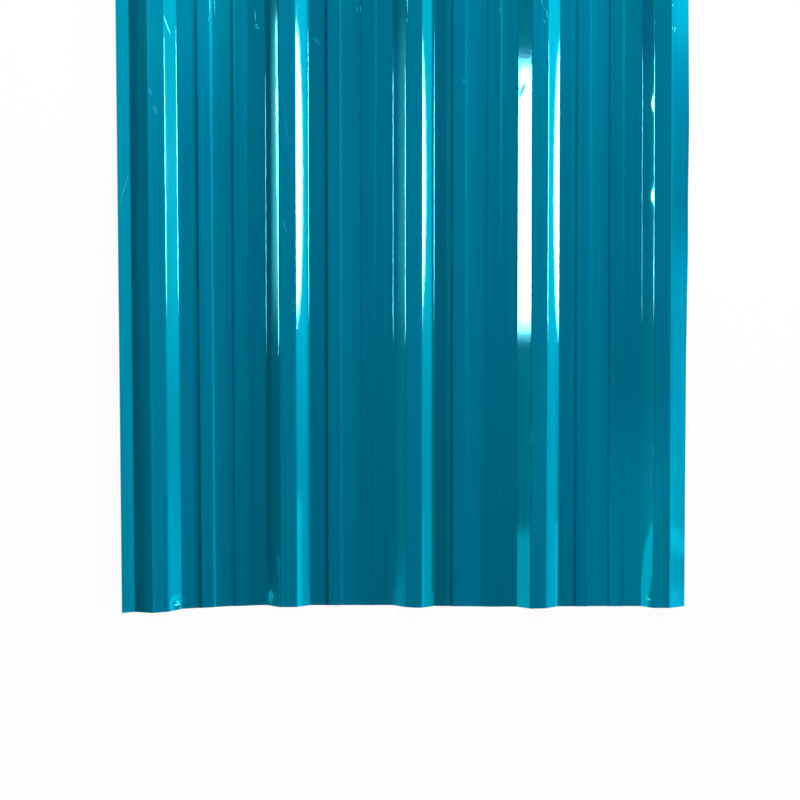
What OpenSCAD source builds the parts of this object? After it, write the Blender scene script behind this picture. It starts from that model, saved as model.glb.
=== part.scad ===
// Painted steel roofing sheet, roll-formed in one piece: tall box ribs with flat pans between
// them, and low stiffening ribs in each pan. Sizes are in millimetres.
// X runs across the ribs, Y along them and Z up. The pans lie on Z = 0.

/* [Sheet] */
// Length of the sheet along its ribs
sheet_length = 2440; // [600:10:6000]
// Thickness of the metal
metal_thickness = 0.5; // [0.3:0.05:1.2]

/* [Main ribs] */
// Number of main ribs, with the two that lap the neighbouring sheets
rib_count = 5; // [2:1:7]
// Distance between the middles of two main ribs
rib_pitch = 250; // [215:5:340]
// Height from the underside of the pans to the top of the crests
rib_height = 25; // [14:1:45]
// Width of a crest, corner to corner
crest_width = 33; // [18:1:60]
// Width that a sloping web covers when seen from above
web_run = 26; // [14:1:40]
// Radius of the bends, to the middle of the metal
rib_bend = 3; // [1:0.25:6]

/* [Stiffening ribs] */
// Number of low ribs in each pan
stiffener_count = 2; // [0:1:2]
// Distance between the middles of two low ribs
stiffener_spacing = 69; // [42:1:90]
// Height that a low rib stands above the pan
stiffener_height = 2.5; // [1:0.25:5]
// Width of a low rib's flat top, corner to corner
stiffener_top = 23; // [10:1:35]
// Width that the side of a low rib covers when seen from above
stiffener_run = 5; // [3:0.5:10]
// Radius of the low ribs' bends, to the middle of the metal
stiffener_bend = 4; // [1:0.5:6]

/* [Side laps] */
// Width of the flat lip that goes under the neighbouring sheet
underlap_lip = 25; // [8:1:50]
// Width that the free web covers where the sheet goes over its neighbour
overlap_run = 29; // [26:0.5:36]
// Height at which the free web stops above the pans
overlap_lift = 2; // [0:0.5:8]

/* [Hidden] */

// A bend is drawn in equal steps no larger than this angle
bend_step = 10;

// Levels of the middle of the metal, in the pans and in the crests
pan_level = metal_thickness / 2;
crest_rise = rib_height - metal_thickness;
last_rib = rib_count - 1;

// Corners of a raised rib along the middle of the metal, each with its bend radius
function rib_corners(middle, top, left_run, right_run, rise, bend) = [
    [middle - top / 2 - left_run, pan_level, bend],
    [middle - top / 2, pan_level + rise, bend],
    [middle + top / 2, pan_level + rise, bend],
    [middle + top / 2 + right_run, pan_level, bend]
];

function main_rib(i) = rib_corners(
    i * rib_pitch, crest_width, web_run, i == last_rib ? overlap_run : web_run, crest_rise, rib_bend
);

function stiffener(pan, i) = rib_corners(
    (pan + 0.5) * rib_pitch + (i - (stiffener_count - 1) / 2) * stiffener_spacing,
    stiffener_top, stiffener_run, stiffener_run, stiffener_height, stiffener_bend
);

// A main rib and the pan that follows it
function rib_and_pan(i) = [
    each main_rib(i),
    for (k = [0 : 1 : stiffener_count - 1]) each stiffener(i, k)
];

// Path of the metal from the underlap edge to the overlap edge
first_foot = main_rib(0)[0];
last_shoulder = main_rib(last_rib)[2];
last_foot = main_rib(last_rib)[3];
underlap_edge = first_foot - [underlap_lip, 0, 0];
overlap_edge = last_foot + (last_shoulder - last_foot) * overlap_lift / crest_rise;
path = [
    underlap_edge,
    for (i = [0 : last_rib - 1]) each rib_and_pan(i),
    for (k = [0 : 2]) main_rib(last_rib)[k],
    overlap_edge
];

function flat_point(corner) = [corner.x, corner.y];
function left_of(angle) = [-sin(angle), cos(angle)];

// Direction of each straight stretch of the path
headings = [
    for (i = [0 : len(path) - 2])
        atan2(path[i + 1].y - path[i].y, path[i + 1].x - path[i].x)
];

// Arc round one corner, at a distance to the left of the path
function bend_arc(corner, from, to, distance) =
    let (
        turn = to - from,
        radius = sign(turn) * corner[2],
        centre = flat_point(corner) + radius / cos(turn / 2) * left_of((from + to) / 2),
        steps = ceil(abs(turn) / bend_step)
    )
    [for (k = [0 : steps]) centre - (radius - distance) * left_of(from + turn * k / steps)];

// One face of the metal: the whole path, moved to its left
function face_line(distance) =
    let (last = len(path) - 1)
    [
        flat_point(path[0]) + distance * left_of(headings[0]),
        for (i = [1 : last - 1]) each bend_arc(path[i], headings[i - 1], headings[i], distance),
        flat_point(path[last]) + distance * left_of(headings[last - 1])
    ];

top_line = face_line(metal_thickness / 2);
under_line = face_line(-metal_thickness / 2);
section = [
    each top_line,
    for (i = [len(under_line) - 1 : -1 : 0]) under_line[i]
];
section_x = [for (p = section) p.x];
section_middle = (min(section_x) + max(section_x)) / 2;

module ribbed_sheet() {
    color("#007a96")
        translate([-section_middle, 0, 0])
            rotate([90, 0, 0])
                linear_extrude(height = sheet_length, center = true)
                    polygon(section);
}

ribbed_sheet();
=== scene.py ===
import math

import bmesh
import bpy
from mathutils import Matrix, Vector, noise


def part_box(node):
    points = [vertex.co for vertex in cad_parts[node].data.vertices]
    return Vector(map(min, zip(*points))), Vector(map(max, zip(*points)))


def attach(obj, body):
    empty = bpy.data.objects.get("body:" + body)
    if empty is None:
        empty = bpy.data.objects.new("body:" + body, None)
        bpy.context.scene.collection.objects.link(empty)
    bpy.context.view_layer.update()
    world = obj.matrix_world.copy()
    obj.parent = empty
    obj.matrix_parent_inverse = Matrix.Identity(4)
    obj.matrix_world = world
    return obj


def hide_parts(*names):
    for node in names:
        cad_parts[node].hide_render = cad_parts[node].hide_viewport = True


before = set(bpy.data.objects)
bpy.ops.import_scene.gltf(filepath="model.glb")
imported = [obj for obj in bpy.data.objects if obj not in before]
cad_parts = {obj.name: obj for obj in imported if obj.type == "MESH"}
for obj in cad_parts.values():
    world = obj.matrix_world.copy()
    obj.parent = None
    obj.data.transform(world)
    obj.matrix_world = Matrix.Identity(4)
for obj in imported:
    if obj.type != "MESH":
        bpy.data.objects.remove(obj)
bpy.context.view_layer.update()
sheetLow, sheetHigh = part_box("ribbed_sheet")
print("frame loaded, sheet", [round(side, 4) for side in sheetHigh - sheetLow])


class Wire:
    # one output socket, so that shader maths reads as plain sums
    def __init__(self, tree, socket=None):
        self.tree = tree
        self.socket = socket

    def node(self, kind, settings, sockets, output=0):
        made = self.tree.nodes.new(kind)
        for name, value in settings.items():
            setattr(made, name, value)
        for name, value in sockets.items():
            if isinstance(value, Wire):
                self.tree.links.new(value.socket, made.inputs[name])
            else:
                made.inputs[name].default_value = value
        return Wire(self.tree, made.outputs[output]) if made.outputs else None

    def math(self, operation, first, second):
        return self.node("ShaderNodeMath", {"operation": operation}, {0: first, 1: second})

    def __add__(self, other):
        return self.math("ADD", self, other)

    def __radd__(self, other):
        return self.math("ADD", other, self)

    def __sub__(self, other):
        return self.math("SUBTRACT", self, other)

    def __rsub__(self, other):
        return self.math("SUBTRACT", other, self)

    def __mul__(self, other):
        return self.math("MULTIPLY", self, other)

    def __rmul__(self, other):
        return self.math("MULTIPLY", other, self)


def vectorMath(operation, first, second):
    return first.node("ShaderNodeVectorMath", {"operation": operation}, {0: first, 1: second})


def tinted(colour, tone):
    # a plain colour made lighter or darker
    return tone.node("ShaderNodeVectorMath", {"operation": "SCALE"}, {0: colour, "Scale": tone})


def mixed(factor, first, second):
    sockets = {0: factor, 6: first, 7: second}      # the colour sockets come after the others
    return factor.node("ShaderNodeMix", {"data_type": "RGBA"}, sockets, 2)


def ramped(value, start, end, low=0.0, high=1.0):
    # low up to start, high from end on, smooth between them
    settings = {"interpolation_type": "SMOOTHSTEP"}
    sockets = {"Value": value, "From Min": start, "From Max": end, "To Min": low, "To Max": high}
    return value.node("ShaderNodeMapRange", settings, sockets)


def speckle(place, scale, detail):
    # noise from 0 to 1, with its own scale along each axis
    scaled = vectorMath("MULTIPLY", place, scale)
    return place.node("ShaderNodeTexNoise", {}, {"Vector": scaled, "Scale": 1.0, "Detail": detail})


def bumped(height, distance):
    sockets = {"Strength": 1.0, "Distance": distance, "Height": height}
    return height.node("ShaderNodeBump", {}, sockets)


def emptyTree(owner):
    owner.use_nodes = True
    owner.node_tree.nodes.clear()
    return Wire(owner.node_tree)


def newMaterial(name):
    # the material, and a wire that its nodes start from
    material = bpy.data.materials.new(name)
    return material, emptyTree(material)


def objectPlace(start):
    return start.node("ShaderNodeTexCoord", {}, {}, "Object")


def finishMaterial(start, sockets):
    surface = start.node("ShaderNodeBsdfPrincipled", {}, sockets)
    start.node("ShaderNodeOutputMaterial", {}, {"Surface": surface})


def addObject(name, data):
    made = bpy.data.objects.new(name, data)
    bpy.context.scene.collection.objects.link(made)
    return made


def addMesh(name, bm):
    mesh = bpy.data.meshes.new(name)
    bm.to_mesh(mesh)
    bm.free()
    return addObject(name, mesh)


# The sheet as it is rolled, in metres
sheetSize = {
    "ribs": 5,
    "pitch": 0.250,
    "crest": 0.033,           # corner to corner
    "webRun": 0.026,          # seen from above
    "ribBend": 0.003,         # to the middle of the metal
    "lowRibs": 2,             # in each pan
    "lowRibSpacing": 0.069,
    "lowRibTop": 0.023,
    "lowRibRun": 0.005,
    "lowRibRise": 0.0025,
    "lowRibBend": 0.004,
    "lip": 0.025,
    "overlapRun": 0.029,
    "overlapLift": 0.002,
    "metal": 0.0005,
}
ribRise = sheetHigh.z - sheetLow.z - sheetSize["metal"]
firstRib = sheetLow.x + sheetSize["lip"] + sheetSize["webRun"] + sheetSize["crest"] / 2
ribMiddles = [firstRib + i * sheetSize["pitch"] for i in range(sheetSize["ribs"])]
ribSides = [sheetSize["webRun"]] * (sheetSize["ribs"] - 1) + [sheetSize["overlapRun"]]


def lowRibMiddles(rib):
    # the low ribs in the pan that follows a rib
    middle = ribMiddles[rib] + sheetSize["pitch"] / 2
    first = middle - (sheetSize["lowRibs"] - 1) / 2 * sheetSize["lowRibSpacing"]
    return [first + k * sheetSize["lowRibSpacing"] for k in range(sheetSize["lowRibs"])]


# How finely the section and the length are cut
sheetMesh = {
    "ribBendCuts": 4,
    "lowBendCuts": 2,
    "bendMargin": 0.0007,         # from a bend to the cut beside it
    "leastStretch": 0.0021,       # anything shorter stays whole
    "stretch": 0.012,             # step across a flat
    "dentStretch": 0.0035,        # and across a web with a knock
    "endRows": (0.060, 0.004),    # reach from the near end, step
    "nearRows": (1.220, 0.018),
    "farRows": 0.040,
    "dentRows": 0.007,
    "dentRowReach": 2.5,          # how far those rows reach, in the knock's spread along the rib
    "dentReach": 3.0,             # how far a knock itself does, in its larger spread
}

# How far the sheet has sprung from its rolled shape, from the left rib to the right one.
# Each rib has its left foot, left shoulder, right shoulder and right foot.
still = (0, 0, 0, 0)
sheetFlex = {
    "driftNear": (-0.0024, 0.0034, 0.0027, 0.0019, -0.0015),
    "driftFar": (-0.0063, 0.0030, 0.0028, 0.0020, -0.0056),
    "shift": (
        (-0.0100, 0, 0, -0.0013),
        (-0.0010, 0, 0, 0),
        (0.0015, 0.0016, 0.0003, -0.0008),
        (-0.0001, 0.0017, 0, -0.0022),
        (0.0022, 0.0003, 0, 0.0050),
    ),
    "lift": (
        (0, 0, -0.0008, 0.0007),
        (0, 0, -0.0008, 0.0007),
        (0, 0, -0.0014, 0.0012),
        (0, 0, -0.0016, 0.0031),
        still,
    ),
    "endLift": (still, still, still, still, (0.0015, -0.0020, -0.0020, 0)),
    "endReach": 0.220,        # how far endLift and endBow reach from the near end
    "webBow": ((0, 0), (0.0003, 0.00025), (0.00008, 0.00026), (0, -0.00025), (0.0001, 0)),
    "endBow": ((0, 0), (0, 0.00025), (0.00008, 0.00026), (0, -0.00025), (0.0003, 0)),
    "lowRibShift": ((0.0024, 0), (0.0006, 0.0006), (0.0006, 0.0012), (-0.0004, -0.0030)),
    "lowRibShare": ((1.0, 0.75), (0.75, 0.5), (0.65, 0.55), (0.7, 0.75)),      # of their height
    "cornerDrop": 0.016,      # the near left corner is cut long
    "cornerReach": 0.280,
    "cornerCurve": 1.5,
    "cornerFade": 0.350,
    "endLine": ((0, 0), (0.012, -0.0012), (0.090, -0.0020), (0.170, -0.0031), (0.250, -0.0031),
                (0.310, -0.0021), (0.400, -0.0018), (0.560, -0.0020)),
    "lipLift": 0.003,
    "lipOut": 0.0009,
    "freeEdge": ((-1.220, -0.0006), (-1.000, -0.0002), (-0.720, 0.0008), (-0.500, 0.0036),
                 (-0.400, 0.0032), (-0.254, 0.0048), (0, 0.0026)),
    "panWave": 0.0005,
    "panWaveScale": (7.0, 2.5),      # across and along
}

# Knocks: place, depth into the face, spread across and along the rib, and how far they lean.
# A depth below zero stands out.
sheetDents = (
    {"at": (0.2275, -0.184), "depth": 0.0004, "across": 0.0024, "along": 0.008, "lean": 0.33},
    {"at": (0.4932, -0.212), "depth": 0.0006, "across": 0.004, "along": 0.011},
    {"at": (0.4930, -0.394), "depth": 0.0006, "across": 0.004, "along": 0.011},
    {"at": (-0.4562, -1.215), "depth": -0.0016, "across": 0.006, "along": 0.006},
    {"at": (-0.2637, -1.201), "depth": 0.0006, "across": 0.005, "along": 0.006},
)


def raisedRib(middle, top, leftRun, rightRun, rise, bend):
    return [
        (middle - top / 2 - leftRun, 0.0, bend),
        (middle - top / 2, rise, bend),
        (middle + top / 2, rise, bend),
        (middle + top / 2 + rightRun, 0.0, bend),
    ]


def sectionCorners():
    size = sheetSize
    corners = [(sheetLow.x, 0.0, 0.0)]
    for rib, (middle, rightRun) in enumerate(zip(ribMiddles, ribSides)):
        corners += raisedRib(
            middle, size["crest"], size["webRun"], rightRun, ribRise, size["ribBend"],
        )
        if rib == size["ribs"] - 1:
            break
        for place in lowRibMiddles(rib):
            corners += raisedRib(
                place, size["lowRibTop"], size["lowRibRun"], size["lowRibRun"],
                size["lowRibRise"], size["lowRibBend"],
            )
    shoulder, foot = corners[-2:]
    stop = size["overlapLift"] / ribRise      # the free web stops above the floor
    corners[-1] = (foot[0] + (shoulder[0] - foot[0]) * stop, ribRise * stop, 0.0)
    return corners


def drawSection(bm):
    # the section as a line of edges at the near end, with its bends rounded and its flats cut
    corners = sectionCorners()
    verts = [bm.verts.new((x, sheetLow.y, z + sheetSize["metal"] / 2)) for x, z, bend in corners]
    for first, second in zip(verts, verts[1:]):
        bm.edges.new((first, second))
    headings = [(b.co - a.co).normalized() for a, b in zip(verts, verts[1:])]
    turns = [a.angle(b) for a, b in zip(headings, headings[1:])]
    for vert, turn, corner in zip(verts[1:-1], turns, corners[1:-1]):
        bend = corner[2]
        cuts = "ribBendCuts" if bend == sheetSize["ribBend"] else "lowBendCuts"
        bmesh.ops.bevel(
            bm, geom=[vert], offset=bend * math.tan(turn / 2), offset_type="OFFSET",
            affect="VERTICES", segments=sheetMesh[cuts], profile=0.5, material=-1,
        )
    for edge in list(bm.edges):
        cutStretch(bm, edge)


def cutStretch(bm, edge):
    # cuts close to both ends keep a flat stretch flat right up to its bends
    first, last = (vert.co.copy() for vert in edge.verts)
    length = (last - first).length
    margin = sheetMesh["bendMargin"]
    if length < sheetMesh["leastStretch"]:
        return
    step = sheetMesh["stretch"]
    if abs(last.z - first.z) > ribRise / 2:
        middle = (first.x + last.x) / 2
        if any(abs(dent["at"][0] - middle) < sheetSize["webRun"] for dent in sheetDents):
            step = sheetMesh["dentStretch"]
    inner = int(length / step)
    places = [margin + (length - 2 * margin) * i / (inner + 1) for i in range(inner + 2)]
    made = bmesh.ops.subdivide_edges(bm, edges=[edge], cuts=len(places))["geom_inner"]
    verts = [item for item in made if isinstance(item, bmesh.types.BMVert)]
    verts.sort(key=lambda vert: (vert.co - first).length)
    for vert, place in zip(verts, places):
        vert.co = first.lerp(last, place / length)


def rowStep(y):
    for dent in sheetDents:
        if abs(y - dent["at"][1]) < sheetMesh["dentRowReach"] * dent["along"]:
            return sheetMesh["dentRows"]
    for reach, step in (sheetMesh["endRows"], sheetMesh["nearRows"]):
        if y < sheetLow.y + reach:
            return step
    return sheetMesh["farRows"]


def rowPlaces():
    rows = [sheetLow.y]
    while rows[-1] < sheetHigh.y - sheetMesh["dentRows"]:
        rows.append(rows[-1] + rowStep(rows[-1]))
    rows[-1] = sheetHigh.y
    return rows


def rollOut(bm):
    edges = list(bm.edges)
    rows = rowPlaces()
    for here, there in zip(rows, rows[1:]):
        made = bmesh.ops.extrude_edge_only(bm, edges=edges)["geom"]
        verts = {item for item in made if isinstance(item, bmesh.types.BMVert)}
        bmesh.ops.translate(bm, verts=list(verts), vec=(0, there - here, 0))
        edges = [e for e in made if isinstance(e, bmesh.types.BMEdge) and verts.issuperset(e.verts)]
    bmesh.ops.recalc_face_normals(bm, faces=list(bm.faces))
    if sum(face.normal.z for face in bm.faces) < 0:
        bmesh.ops.reverse_faces(bm, faces=list(bm.faces))
    bm.normal_update()


def between(value, start, end):
    # 0 at start, 1 at end, smooth between them
    share = min(1.0, max(0.0, (value - start) / (end - start)))
    return share * share * (3 - 2 * share)


def sectionKnots(drift, moves, lowMoves=()):
    # a move at each foot and shoulder, from left to right, and at both feet of each low rib
    half = sheetSize["crest"] / 2
    knots = []
    for middle, whole, single, rightRun in zip(ribMiddles, drift, moves, ribSides):
        places = (-half - sheetSize["webRun"], -half, half, half + rightRun)
        knots += [(middle + place, whole + move) for place, move in zip(places, single)]
    lowHalf = sheetSize["lowRibTop"] / 2 + sheetSize["lowRibRun"]
    lowKnots = []
    for rib, pair in enumerate(lowMoves):
        for middle, move in zip(lowRibMiddles(rib), pair):
            for place in (middle - lowHalf, middle + lowHalf):
                lowKnots.append((place, along(knots, place) + move))
    return sorted(knots + lowKnots)


def along(knots, x):
    if x <= knots[0][0]:
        return knots[0][1]
    for (start, first), (end, second) in zip(knots, knots[1:]):
        if x <= end:
            return first + (second - first) * (x - start) / (end - start)
    return knots[-1][1]


def webBulge(x, bows):
    # outward bow of the web that x lies on, deepest halfway up
    half = sheetSize["crest"] / 2
    for middle, bow, rightRun in zip(ribMiddles, bows, ribSides):
        for side, run, depth in ((-1, sheetSize["webRun"], bow[0]), (1, rightRun, bow[1])):
            share = (side * (x - middle) - half) / run
            if 0 < share < 1:
                normal = Vector((side * ribRise, 0, run)).normalized()
                return normal * (4 * depth * share * (1 - share))
    return Vector()


def lowRibHeight(x):
    # share of the rolled height that the low rib at x has kept
    reach = sheetSize["lowRibTop"] / 2 + sheetSize["lowRibRun"] + sheetSize["lowRibBend"]
    for rib, shares in enumerate(sheetFlex["lowRibShare"]):
        for middle, share in zip(lowRibMiddles(rib), shares):
            if abs(x - middle) < reach:
                return share
    return 1.0


def flexSheet(bm):
    flex = sheetFlex
    level = [0] * sheetSize["ribs"]
    nearKnots = sectionKnots(flex["driftNear"], flex["shift"], flex["lowRibShift"])
    farKnots = sectionKnots(flex["driftFar"], flex["shift"], flex["lowRibShift"])
    liftKnots = sectionKnots(level, flex["lift"])
    endKnots = sectionKnots(level, flex["endLift"])
    cornerEnd = sheetLow.x + flex["cornerReach"]
    lastShoulder = ribMiddles[-1] + sheetSize["crest"] / 2
    panLevel = sheetSize["metal"] / 2
    waveAcross, waveAlong = flex["panWaveScale"]
    for vert in bm.verts:
        x, y, z = vert.co
        far = min(1.0, (y - sheetLow.y) / -sheetLow.y)      # all of it from the middle on
        end = 1 - between(y, sheetLow.y, sheetLow.y + flex["endReach"])
        vert.co.z = panLevel + (z - panLevel) * lowRibHeight(x)
        vert.co.x += along(nearKnots, x) * (1 - far) + along(farKnots, x) * far
        vert.co.z += along(liftKnots, x) + along(endKnots, x) * end
        vert.co += webBulge(x, flex["webBow"]) * (1 - end) + webBulge(x, flex["endBow"]) * end
        wave = 0.5 + 0.5 * noise.noise(Vector((x * waveAcross, y * waveAlong, 0)))
        vert.co.z += flex["panWave"] * wave
        lip = between(sheetLow.x + sheetSize["lip"] - x, 0, sheetSize["lip"])
        vert.co.z += flex["lipLift"] * lip
        vert.co.x -= flex["lipOut"] * lip
        free = max(0.0, (x - lastShoulder) / (sheetHigh.x - lastShoulder))
        vert.co.x += along(flex["freeEdge"], y) * free
        corner = max(0.0, (cornerEnd - x) / flex["cornerReach"]) ** flex["cornerCurve"]
        nearEnd = 1 - between(y, sheetLow.y, sheetLow.y + flex["cornerFade"])
        vert.co.y += (along(flex["endLine"], x) - flex["cornerDrop"] * corner) * nearEnd
    bm.normal_update()


def knockDents(bm):
    for dent in sheetDents:
        reach = sheetMesh["dentReach"] * max(dent["across"], dent["along"])
        for vert in bm.verts:
            dy = vert.co.y - dent["at"][1]
            dx = vert.co.x - dent["at"][0] - dent.get("lean", 0) * dy
            if max(abs(dx), abs(dy)) > reach:
                continue
            fall = math.exp(-((dx / dent["across"]) ** 2 + (dy / dent["along"]) ** 2) / 2)
            vert.co -= vert.normal * dent["depth"] * fall
    bm.normal_update()


# How much light and shade is painted into the paint colour, as factors: on the left and right
# web of each rib, on its crest, and in patches; all of it is painted highlight and painted shade.
# A patch has its span across and along, how soft its edges are in each direction, and its factor.
allAlong = (-2, 2)
paintedLightAndShade = {
    "webs": ((1.1, 0.82), (0.9, 1.1), (1.5, 0.86), (1.45, 1.1), (1.45, 1.35)),
    "crests": (1.12, 0.93, 0.86, 0.92, 0.82),
    "soft": 0.002,
    "patches": (
        ((-0.600, -0.5304), allAlong, (0.0005, 1), 2.35),           # the lip
        ((-0.515, -0.5044), allAlong, (0.010, 1), 1.50),            # top of left web 1
        ((-0.315, -0.2820), allAlong, (0.004, 1), 0.92),            # left of rib 2
        ((-0.198, -0.1640), allAlong, (0.004, 1), 0.72),            # right of rib 2
        ((-0.1645, -0.1585), allAlong, (0.001, 1), 0.78),           # pan 2, side of a low rib
        ((0.0855, 0.0915), allAlong, (0.001, 1), 0.82),             # pan 3, the same
        ((-0.0250, -0.0050), (-2, -1.15), (0.003, 0.05), 1.55),     # left web 3, near end
        ((-0.2760, -0.2540), (-2, -1.18), (0.003, 0.03), 1.45),     # left web 2, near end
        ((-0.3420, -0.3150), allAlong, (0.003, 1), 1.15),           # pan 1, top of a low rib
        ((-0.1590, -0.1350), allAlong, (0.002, 1), 0.84),           # pan 2, the same
        ((0.0910, 0.1150), allAlong, (0.002, 1), 0.84),             # pan 3
        ((0.3410, 0.3650), allAlong, (0.002, 1), 0.84),             # pan 4
        ((0.0500, 0.0840), allAlong, (0.003, 1), 0.50),             # right of rib 3
        ((0.3020, 0.3340), allAlong, (0.003, 1), 0.80),             # right of rib 4
        ((0.5290, 0.6000), (-0.50, -0.17), (0.003, 0.10), 0.62),    # free web, middle part
        ((0.5290, 0.6000), (-0.08, 0.6), (0.003, 0.06), 1.40),      # far part
        ((0.5290, 0.6000), (-2, -1.18), (0.003, 0.03), 1.30),       # near end
        ((-0.0304, -0.0044), (-0.09, 0.6), (0.002, 0.06), 0.75),    # left web 3, far part
        ((0.2196, 0.2456), (-0.09, 0.6), (0.002, 0.06), 0.78),      # left web 4
        ((0.4696, 0.4956), (-0.16, 0.6), (0.002, 0.08), 0.72),      # left web 5
        ((-0.505, -0.4720), (-0.16, 0.6), (0.004, 0.16), 1.28),     # crest 1, far part
        ((-0.444, -0.3300), (-0.16, 0.6), (0.004, 0.16), 1.38),     # pan 1
        ((-0.200, 0.0500), (-0.25, 0.6), (0.02, 0.25), 0.88),       # pan 2 and its ribs
        ((0.240, 0.4600), (-0.20, 0.6), (0.05, 0.16), 1.12),        # rib 4 and pan 4
        ((0.400, 0.5290), (-2, -0.88), (0.03, 0.14), 1.45),         # rib 5, near part
        ((-0.1359, -0.1309), (-0.35, 0.6), (0.001, 0.25), 1.12),    # pan 2, sides of the low ribs
        ((-0.1359, -0.1309), (-2, -0.70), (0.001, 0.25), 0.80),
        ((-0.0949, -0.0899), (-2, -0.65), (0.001, 0.25), 1.14),
        ((-0.0669, -0.0619), (-0.45, 0.6), (0.001, 0.30), 1.34),
        ((0.1141, 0.1191), (-2, -0.60), (0.001, 0.30), 0.74),       # pan 3, the same
        ((0.1551, 0.1601), (-2, -0.60), (0.001, 0.25), 1.16),
        ((0.1831, 0.1881), (-0.35, 0.6), (0.001, 0.35), 1.75),
        ((-0.3859, -0.3809), (-0.20, 0.6), (0.001, 0.25), 1.40),    # pan 1
        ((-0.3449, -0.3399), (-0.35, 0.6), (0.001, 0.25), 0.74),
        ((-0.3230, -0.3119), (-0.40, 0.6), (0.001, 0.35), 1.25),
        ((0.3641, 0.3691), (-2, -0.45), (0.001, 0.30), 0.76),       # pan 4
        ((0.4331, 0.4381), (-0.35, 0.6), (0.001, 0.30), 1.50),
        ((-0.2214, -0.1954), (-2, -0.85), (0.002, 0.25), 0.82),     # right web 2, near part
        ((-0.4714, -0.4454), (-2, -1.02), (0.002, 0.24), 1.32),     # right web 1
    ),
}


def inside(value, span, soft):
    # 1 within the span and 0 outside it, smooth at both ends
    start, end = span
    return between(value, start - soft, start + soft) * between(value, end + soft, end - soft)


# painted light and shade: the factor that makes the paint lighter or darker at each point
def paintedLightTone(x, y):
    half = sheetSize["crest"] / 2
    tone = 1.0
    ribs = zip(ribMiddles, paintedLightAndShade["webs"], paintedLightAndShade["crests"], ribSides)
    for middle, webs, crest, rightRun in ribs:
        left = middle - half
        right = middle + half
        spans = ((left - sheetSize["webRun"], left), (left, right), (right, right + rightRun))
        for span, share in zip(spans, (webs[0], crest, webs[1])):
            tone *= 1 + (share - 1) * inside(x, span, paintedLightAndShade["soft"])
    for spanX, spanY, (softX, softY), share in paintedLightAndShade["patches"]:
        tone *= 1 + (share - 1) * (inside(x, spanX, softX) * inside(y, spanY, softY))
    return tone


def makeSheet(materials):
    bm = bmesh.new()
    drawSection(bm)
    rollOut(bm)
    rolled = bm.verts.layers.float_vector.new("rolled")      # where each point was before it flexed
    paintedLight = bm.verts.layers.float.new("paintedLight")                 # how much light or shade is painted in there
    for vert in bm.verts:
        vert[rolled] = vert.co
        vert[paintedLight] = paintedLightTone(vert.co.x, vert.co.y)
    flexSheet(bm)
    knockDents(bm)
    for face in bm.faces:
        face.smooth = True
    for edge in bm.edges:
        edge.smooth = not edge.is_boundary      # the cut edges stay crisp
    sheet = addMesh("ribbed_sheet_skin", bm)
    for material in materials:
        sheet.data.materials.append(material)
    wall = sheet.modifiers.new("metal", "SOLIDIFY")
    wall.thickness = sheetSize["metal"]
    wall.offset = 0.0
    wall.use_even_offset = True
    wall.material_offset = 1          # the backing coat
    wall.material_offset_rim = 2      # the cut edge
    print("sheet rolled,", len(sheet.data.polygons), "faces")
    return sheet


paintTop = {
    "colour": (0.0, 0.132, 0.221),
    "paintedLightColour": (0.0, 0.139, 0.209),
    "paintedLightRange": (1.1, 1.6),                # where the most light is painted in, the colour is also a little greener
    "roughness": 0.03,
    "streak": ((260.0, 1.2, 0.0), 3.0),     # roll streaks: scale along each axis, detail
    "streakTone": 0.50,
    "blotch": ((5.0, 3.0, 5.0), 3.0),
    "blotchTone": 0.10,
    "blotchRough": 0.01,
    "peel": ((420.0, 420.0, 420.0), 1.0),   # orange peel
    "peelHeight": 0.00002,
    "scratchAndGlintColour": (0.06, 0.75, 0.86, 1.0),
    "scratchAndGlintStrength": 1.25,
    "scratchAndGlintRough": 0.3,
    "smudgeAndSheenColour": (0.02, 0.30, 0.42, 1.0),
    "speckColour": (0.0, 0.03, 0.05, 1.0),
    "breaks": ((220.0, 220.0, 0.0), 1.0),   # where scratches, smudges and the painted highlights and reflections drawn with them thin out
    "breakRange": (0.35, 0.55, 0.7, 1.0),   # from and to in the noise, then in strength
    "markReach": 0.6,                       # from a mark's middle, in its length
    "markCore": 0.4,                        # share of that at full strength
}
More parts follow.
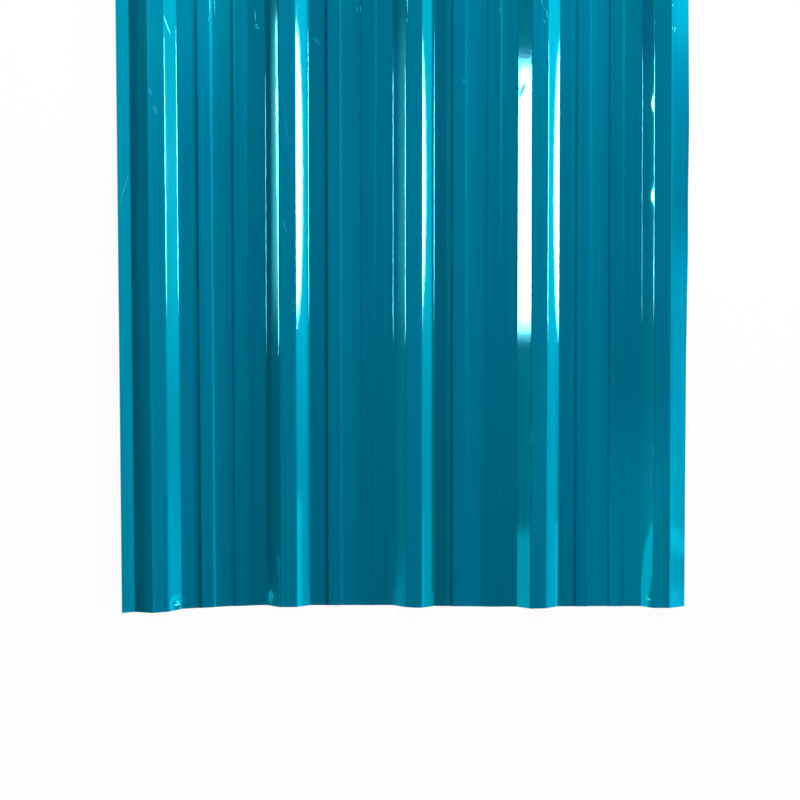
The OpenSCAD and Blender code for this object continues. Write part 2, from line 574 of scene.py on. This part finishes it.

# Fine scratches, and painted highlights on knocks at the near end: from, to, width, strength
scratchesAndGlints = (
    ((-0.4769, -0.0402), (-0.4638, -0.0781), 0.0012, 0.9),
    ((-0.3866, 0.0200), (-0.3866, -0.0394), 0.0012, 0.7),
    ((-0.3866, -0.0394), (-0.3912, -0.0552), 0.0010, 0.5),
    ((-0.3785, 0.0200), (-0.3765, -0.0435), 0.0011, 0.7),
    ((-0.2986, -0.0278), (-0.2957, -0.0553), 0.0011, 0.7),
    ((-0.2973, -0.0573), (-0.2938, -0.0662), 0.0010, 0.7),
    ((-0.2938, -0.0662), (-0.2878, -0.0642), 0.0010, 0.7),
    ((-0.2961, -0.0585), (-0.2906, -0.0597), 0.0010, 0.6),
    ((-0.0975, -0.0219), (-0.0955, -0.0337), 0.0009, 0.4),
    ((-0.0900, -0.0199), (-0.0886, -0.0376), 0.0009, 0.4),
    ((0.0025, 0.0200), (0.0031, -0.0362), 0.0011, 0.8),
    ((0.0011, -0.0441), (0.0031, -0.0529), 0.0010, 0.6),
    ((0.1854, -0.0218), (0.1854, -0.0395), 0.0012, 0.25),
    ((0.2655, -0.0020), (0.2695, -0.0215), 0.0009, 0.35),
    ((0.2695, -0.0215), (0.2744, -0.0293), 0.0009, 0.35),
    ((0.2764, -0.0264), (0.2795, -0.0482), 0.0010, 0.5),
    ((0.2696, -0.0450), (0.2745, -0.0549), 0.0009, 0.4),
    ((0.5232, -0.0192), (0.5263, -0.0192), 0.0013, 0.9),
    ((0.5306, -0.0601), (0.5277, -0.0738), 0.0010, 0.5),
    ((0.5241, -0.0598), (0.5251, -0.0677), 0.0010, 0.5),
    ((0.4905, -0.0499), (0.4929, -0.0549), 0.0010, 0.35),
    ((-0.5482, -0.3499), (-0.5685, -0.4193), 0.0010, 0.55),
    ((-0.2414, -0.2292), (-0.2288, -0.3043), 0.0007, 0.20),
    ((-0.2460, -0.4391), (-0.2343, -0.4689), 0.0008, 0.30),
    ((0.2498, -0.8584), (0.2490, -0.8966), 0.0009, 0.30),
    ((0.2470, -0.9127), (0.2470, -1.0275), 0.0008, 0.20),
    ((0.4916, -0.8825), (0.4929, -0.9227), 0.0009, 0.25),
    ((0.0910, -0.4353), (0.0905, -0.5490), 0.0008, 0.20),
    # the four marks below are painted highlights on knocks at the near end, drawn as pale marks
    ((0.4738, -1.1949), (0.4910, -1.2070), 0.0010, 0.6),
    ((0.4795, -1.2040), (0.4900, -1.2070), 0.0022, 0.9),
    ((-0.4640, -1.2180), (-0.4512, -1.2160), 0.0022, 0.9),
    ((-0.4600, -1.2120), (-0.4542, -1.2110), 0.0014, 0.6),
)

# Soft pale smudges, and painted reflections at the near end of the left webs, drawn in the same way
smudgesAndSheen = (
    ((-0.5558, -0.1657), (-0.5499, -0.1795), 0.0025, 0.7),
    ((-0.5083, -0.1779), (-0.5005, -0.1976), 0.0045, 0.6),
    ((-0.4987, -0.2134), (-0.4909, -0.2351), 0.0055, 0.5),
    # the three below are painted reflections at the near end of left webs 2 and 3
    ((-0.2738, -1.1700), (-0.2699, -1.2110), 0.0040, 0.30),
    ((-0.2678, -1.2020), (-0.2597, -1.2072), 0.0040, 0.35),
    ((-0.0057, -1.1573), (-0.0137, -1.2150), 0.0045, 0.30),
    ((0.1108, -0.1639), (0.1177, -0.1756), 0.0040, 0.28),
    ((-0.1833, -0.0810), (-0.1696, -0.0987), 0.0060, 0.26),
    ((0.5370, -1.1800), (0.5380, -1.2180), 0.0060, 0.25),
)
darkSpecks = (
    ((0.3788, -1.1305), (0.3810, -1.1305), 0.0022, 0.8),
    ((0.4004, -0.9076), (0.4020, -0.9076), 0.0014, 0.5),
)


def drawnMarks(flat, marks):
    # each mark is a long thin ellipse from one end of its line to the other
    total = 0.0
    for start, end, width, strength in marks:
        run = Vector(end) - Vector(start)
        middle = (Vector(start) + Vector(end)) / 2
        turned = flat.node("ShaderNodeMapping", {"vector_type": "TEXTURE"}, {
            "Vector": flat,
            "Location": (middle.x, middle.y, 0),
            "Rotation": (0, 0, math.atan2(run.y, run.x)),
            "Scale": (run.length * paintTop["markReach"], width, 1),
        })
        reach = flat.node("ShaderNodeVectorMath", {"operation": "LENGTH"}, {0: turned}, "Value")
        total = total + ramped(reach, 1.0, paintTop["markCore"], 0.0, strength)
    return total


def paintedFace():
    paint = paintTop
    material, start = newMaterial("turquoise_paint")
    place = objectPlace(start)
    rolled = start.node("ShaderNodeAttribute", {"attribute_name": "rolled"}, {}, "Vector")
    # painted light and shade, kept on the mesh as a factor per point
    paintedLight = start.node("ShaderNodeAttribute", {"attribute_name": "paintedLight"}, {}, "Fac")
    flat = vectorMath("MULTIPLY", place, (1, 1, 0))
    streak = speckle(rolled, *paint["streak"])
    blotch = speckle(place, *paint["blotch"])
    tone = 1 + paint["streakTone"] * (streak - 0.5) + paint["blotchTone"] * (blotch - 0.5)
    shade = tone * paintedLight
    paintedLightTint = ramped(paintedLight, *paint["paintedLightRange"])
    colour = mixed(paintedLightTint, tinted(paint["colour"], shade), tinted(paint["paintedLightColour"], shade))
    breaks = ramped(speckle(place, *paint["breaks"]), *paint["breakRange"])
    colour = mixed(drawnMarks(flat, smudgesAndSheen) * breaks, colour, paint["smudgeAndSheenColour"])
    scratchAndGlintMask = drawnMarks(flat, scratchesAndGlints) * breaks * paint["scratchAndGlintStrength"]
    colour = mixed(scratchAndGlintMask, colour, paint["scratchAndGlintColour"])
    colour = mixed(drawnMarks(flat, darkSpecks), colour, paint["speckColour"])
    rough = paint["roughness"] + paint["blotchRough"] * (blotch - 0.5)
    peel = speckle(place, *paint["peel"])
    finishMaterial(start, {
        "Base Color": colour,
        "Roughness": rough + paint["scratchAndGlintRough"] * scratchAndGlintMask,
        "Normal": bumped(peel, paint["peelHeight"]),
    })
    return material


backCoat = {
    "colour": (0.46, 0.47, 0.45),
    "roughness": 0.42,
    "mottle": ((14.0, 4.0, 14.0), 4.0),
    "mottleTone": 0.16,
    "mottleRough": 0.2,
}


def backingFace():
    material, start = newMaterial("grey_backing_coat")
    place = objectPlace(start)
    mottle = speckle(place, *backCoat["mottle"])
    grain = speckle(place, *paintTop["peel"])
    finishMaterial(start, {
        "Base Color": tinted(backCoat["colour"], 1 + backCoat["mottleTone"] * (mottle - 0.5)),
        "Roughness": backCoat["roughness"] + backCoat["mottleRough"] * (mottle - 0.5),
        "Normal": bumped(grain, paintTop["peelHeight"]),
    })
    return material


cutEdge = {
    "colour": (0.50, 0.52, 0.53),
    "roughness": 0.38,
    "shearMarks": ((900.0, 900.0, 40.0), 2.0),
    "darkest": 0.8,
    "markTone": 0.4,
    "markRough": 0.3,
}


def shearedEdge():
    material, start = newMaterial("sheared_steel_edge")
    marks = speckle(objectPlace(start), *cutEdge["shearMarks"])
    finishMaterial(start, {
        "Base Color": tinted(cutEdge["colour"], cutEdge["darkest"] + cutEdge["markTone"] * marks),
        "Roughness": cutEdge["roughness"] + cutEdge["markRough"] * (marks - 0.5),
        "Metallic": 1.0,
    })
    return material


sheet = makeSheet([paintedFace(), backingFace(), shearedEdge()])
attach(sheet, "root")
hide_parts("ribbed_sheet")

floorLook = {
    "side": 60.0,
    "drop": 0.0003,           # keeps the floor clear of the metal
    "colour": (0.9, 0.9, 0.9, 1.0),
    "whiteShare": 0.93,       # how much of the floor shows as plain white
}


def makeFloor():
    bm = bmesh.new()
    bmesh.ops.create_grid(bm, x_segments=1, y_segments=1, size=floorLook["side"] / 2)
    bmesh.ops.translate(bm, verts=list(bm.verts), vec=(0, 0, -floorLook["drop"]))
    floor = addMesh("floor", bm)
    material, start = newMaterial("white_floor")
    matt = start.node("ShaderNodeBsdfDiffuse", {}, {"Color": floorLook["colour"]})
    white = start.node("ShaderNodeEmission", {}, {"Strength": 1.0})
    camera = start.node("ShaderNodeLightPath", {}, {}, "Is Camera Ray")
    glossy = start.node("ShaderNodeLightPath", {}, {}, "Is Glossy Ray")
    clear = start.node("ShaderNodeLightPath", {}, {}, "Is Transmission Ray")
    seen = (camera + glossy + clear) * floorLook["whiteShare"]
    shown = start.node("ShaderNodeMixShader", {}, {0: seen, 1: matt, 2: white})
    start.node("ShaderNodeOutputMaterial", {}, {"Surface": shown})
    floor.data.materials.append(material)


makeFloor()
print("floor laid")

studio = {
    "keyLow": 12.0,           # degrees above the floor, from the right
    "keySoft": 8.0,
    "keyStrength": 4.9,
    "leftLow": 16.0,          # the same from the left, weaker
    "leftSoft": 20.0,
    "leftStrength": 0.6,
    "fillSize": (3.0, 1.6),
    "stripReach": 4.0,        # how far out the strips stand
    "stripBright": 170.0,
    "stripColour": (0.14, 0.8, 1.0),      # so bright that their middle shows white
    "endColour": (0.0, 0.8, 1.0),
}

# Soft lamps: place, what they point at and how bright their face is
fills = (
    {"name": "far_fill", "at": (0.7, 2.4, 2.8), "to": (0, -0.3, 0), "bright": 10.6},
    {"name": "near_fill", "at": (0.4, -3.6, 2.8), "to": (0, -0.6, 0), "bright": 1.6},
)

# Strips that only the gloss sees: left or right, and their span along the sheet and upwards
strips = (
    {"name": "left_low", "side": -1, "y": (-1.06, -0.46), "z": (0.5045, 0.5945), "roll": 8.0},
    {"name": "left_low_far", "side": -1, "y": (-0.46, -0.27), "z": (0.452, 0.542), "roll": 8.0,
     "bright": 45.0},
    {"name": "left_high", "side": -1, "y": (-1.17, -0.43), "z": (0.57, 0.92)},
    {"name": "left_end", "side": -1, "y": (-3.20, -1.76), "z": (0.36, 0.95), "bright": 4.5,
     "colour": studio["endColour"]},
    {"name": "right_end", "side": 1, "y": (-2.40, -1.66), "z": (0.675, 1.05), "bright": 4.8,
     "colour": studio["endColour"]},
    {"name": "right", "side": 1, "y": (-1.14, -0.32), "z": (0.616, 1.08), "round": True},
)

# What the gloss reflects: a teal room, brightest on the right and dark on the left.
# A range goes from one heading to another, and from one brightness to another.
room = {
    "dim": (0.04, 0.04, 0.04, 1.0),
    "teal": (0.0, 0.66, 1.0),
    "overhead": (0.80, 1.0, 0.0, 2.0),
    "rightMid": (0.35, 0.50, 0.0, 2.4),           # as the flatter low ribs see it
    "rightHigh": (0.70, 0.79, 0.0, 4.0),          # as the steep one sees it
    "rightStop": (0.95, 0.86),
    "nearFade": (-0.19, -0.04, 0.5, 1.0),         # darker towards the near end
    "glow": (0.0, 0.9, 1.0),
    "rightLow": (0.945, 0.975, 0.0, 5.9),         # as the webs see it
    "lowNearFade": (-0.14, -0.105, 0.40, 1.0),
    "left": (-0.94, -0.995, 0.0, 0.9),
    "haloTint": (0.10, 0.9, 1.0),                 # round the left strips
    "haloFoot": (0.05, 0.115, 0.0, 9.0),
    "haloTop": (0.140, 0.120),
    "haloSide": (-0.90, -0.97),
    "haloNear": (-0.120, -0.108),
    "haloFar": (-0.054, -0.066),
}


def areaLamp(name, place, target, size, bright, shape="RECTANGLE"):
    lamp = bpy.data.lights.new(name, "AREA")
    lamp.shape = shape
    lamp.size, lamp.size_y = size
    lamp.energy = bright * math.pi * size[0] * size[1]
    made = addObject(name, lamp)
    made.location = place
    made.rotation_euler = (Vector(target) - Vector(place)).to_track_quat("-Z", "Y").to_euler()
    made.visible_camera = False
    return made


def sunLamp(name, lean, soft, strength):
    lamp = bpy.data.lights.new(name, "SUN")
    lamp.energy = strength
    lamp.angle = math.radians(soft)
    made = addObject(name, lamp)
    made.rotation_euler = (0, math.radians(lean), 0)
    made.visible_glossy = False


def lightStudio():
    for fill in fills:
        made = areaLamp(fill["name"], fill["at"], fill["to"], studio["fillSize"], fill["bright"])
        made.visible_glossy = False
    for strip in strips:
        x = strip["side"] * studio["stripReach"]
        y = sum(strip["y"]) / 2
        z = sum(strip["z"]) / 2
        size = (strip["y"][1] - strip["y"][0], strip["z"][1] - strip["z"][0])
        shape = "ELLIPSE" if strip.get("round") else "RECTANGLE"
        bright = strip.get("bright", studio["stripBright"])
        made = areaLamp(strip["name"], (x, y, z), (0, y, z), size, bright, shape)
        made.rotation_euler.rotate_axis("Z", math.radians(strip.get("roll", 0)))
        made.data.color = strip.get("colour", studio["stripColour"])
        made.visible_diffuse = False      # only their reflection counts
    sunLamp("key", 90 - studio["keyLow"], studio["keySoft"], studio["keyStrength"])
    sunLamp("left_fill", studio["leftLow"] - 90, studio["leftSoft"], studio["leftStrength"])


def surroundStudio():
    world = bpy.data.worlds.new("room")
    start = emptyTree(world)
    heading = start.node("ShaderNodeTexCoord", {}, {}, "Generated")
    x, y, z = (start.node("ShaderNodeSeparateXYZ", {}, {"Vector": heading}, axis) for axis in "XYZ")
    steep = ramped(x, *room["rightMid"]) + ramped(x, *room["rightHigh"])
    high = ramped(z, *room["overhead"]) + steep * ramped(x, *room["rightStop"])
    fade = ramped(y, *room["nearFade"])
    low = ramped(x, *room["rightLow"]) * ramped(y, *room["lowNearFade"]) + ramped(x, *room["left"])
    halo = ramped(z, *room["haloFoot"]) * ramped(z, *room["haloTop"]) * ramped(x, *room["haloSide"])
    halo = halo * ramped(y, *room["haloNear"]) * ramped(y, *room["haloFar"])
    teal = vectorMath("ADD", tinted(room["teal"], high * fade), tinted(room["glow"], low))
    teal = vectorMath("ADD", teal, tinted(room["haloTint"], halo))
    glossy = start.node("ShaderNodeLightPath", {}, {}, "Is Glossy Ray")
    shown = start.node("ShaderNodeBackground", {}, {"Color": mixed(glossy, room["dim"], teal)})
    start.node("ShaderNodeOutputWorld", {}, {"Surface": shown})
    bpy.context.scene.world = world


lightStudio()
surroundStudio()
print("lamps set")

photoCamera = {
    "place": (-0.0117, 0.5241, 9.8723),
    "tilt": 7.671,            # degrees from straight down, towards the near end
    "lens": 225.0,
}


def setCamera():
    lens = bpy.data.cameras.new("camera")
    lens.lens = photoCamera["lens"]
    made = addObject("camera", lens)
    made.location = photoCamera["place"]
    made.rotation_euler = (-math.radians(photoCamera["tilt"]), 0, 0)
    bpy.context.scene.camera = made


setCamera()
bpy.context.scene.view_settings.view_transform = "Standard"
print("camera set")
